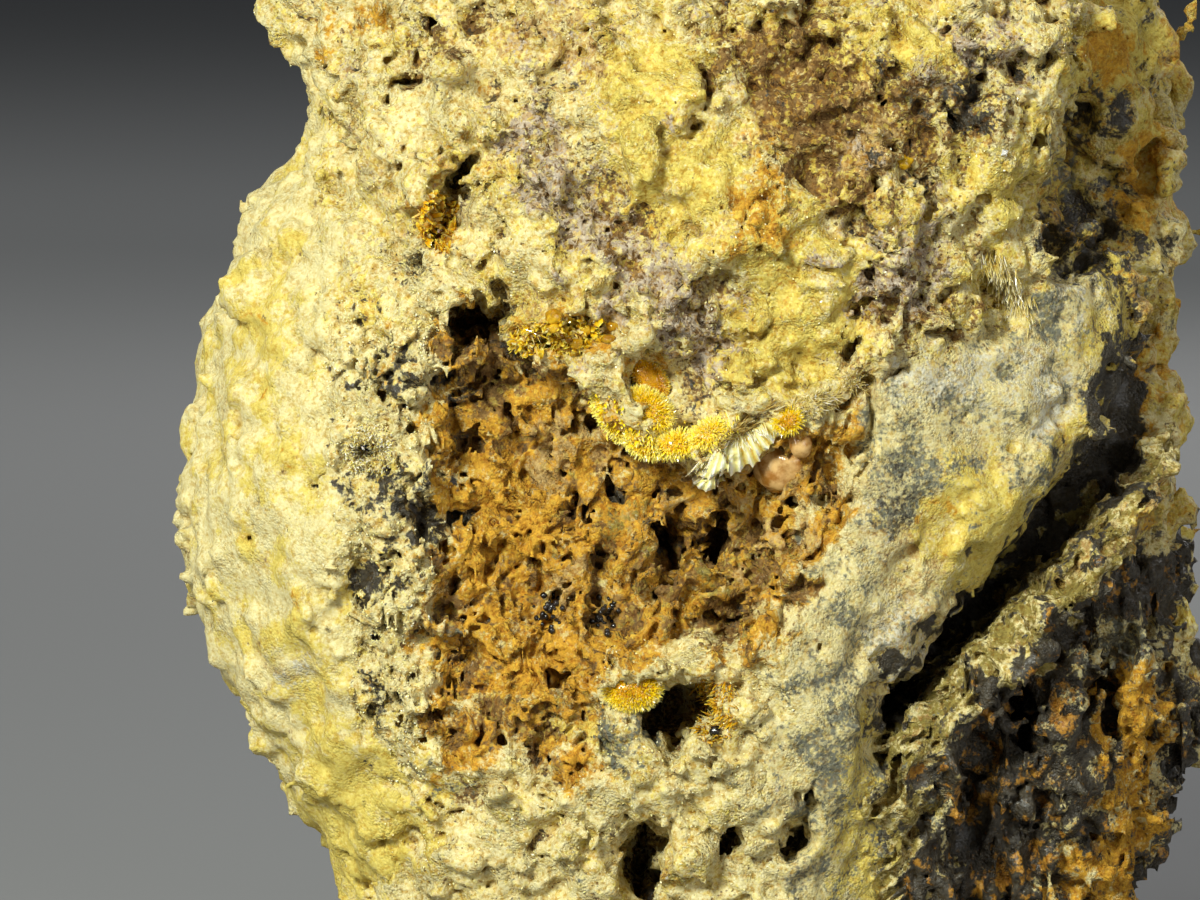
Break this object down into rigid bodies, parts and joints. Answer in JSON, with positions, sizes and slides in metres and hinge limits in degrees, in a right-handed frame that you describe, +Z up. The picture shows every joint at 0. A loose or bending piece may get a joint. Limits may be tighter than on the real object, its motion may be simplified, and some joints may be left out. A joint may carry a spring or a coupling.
{
  "type": "mineral specimen",
  "caption": "Upright lump of porous ironstone under a yellow phosphate crust, with golden fibrous crystal clusters in its hollows and a flat broken base.",
  "frame": {"origin": "middle of the bounding box, on the flat broken base", "axes": "+Z up; the crystal-bearing face looks along -Y; +X is to that face's right"},
  "size_m": [0.0526, 0.0395, 0.0622],
  "materials": {
    "matrix_rock": "matte",
    "golden_fibres": "satin",
    "pale_fibres": "satin",
    "brown_glassy": "gloss",
    "black_oxide": "gloss",
    "white_crystal": "gloss"
  },
  "bodies": {
    "root": {"ironstone_matrix": "matrix_rock", "golden_druse": "golden_fibres", "amber_pocket": "golden_fibres", "silky_curtain": "golden_fibres", "fibre_fan": "pale_fibres", "vein_needles": "pale_fibres", "hanging_brush": "golden_fibres", "upper_left_lining": "golden_fibres", "orange_tuft": "golden_fibres", "cavity_crystals": "golden_fibres", "left_cup": "pale_fibres", "glassy_bulb": "brown_glassy", "black_beads_left": "black_oxide", "black_beads_right": "black_oxide", "yellow_bead": "golden_fibres", "white_grain": "white_crystal"}
  },
  "joints": []
}
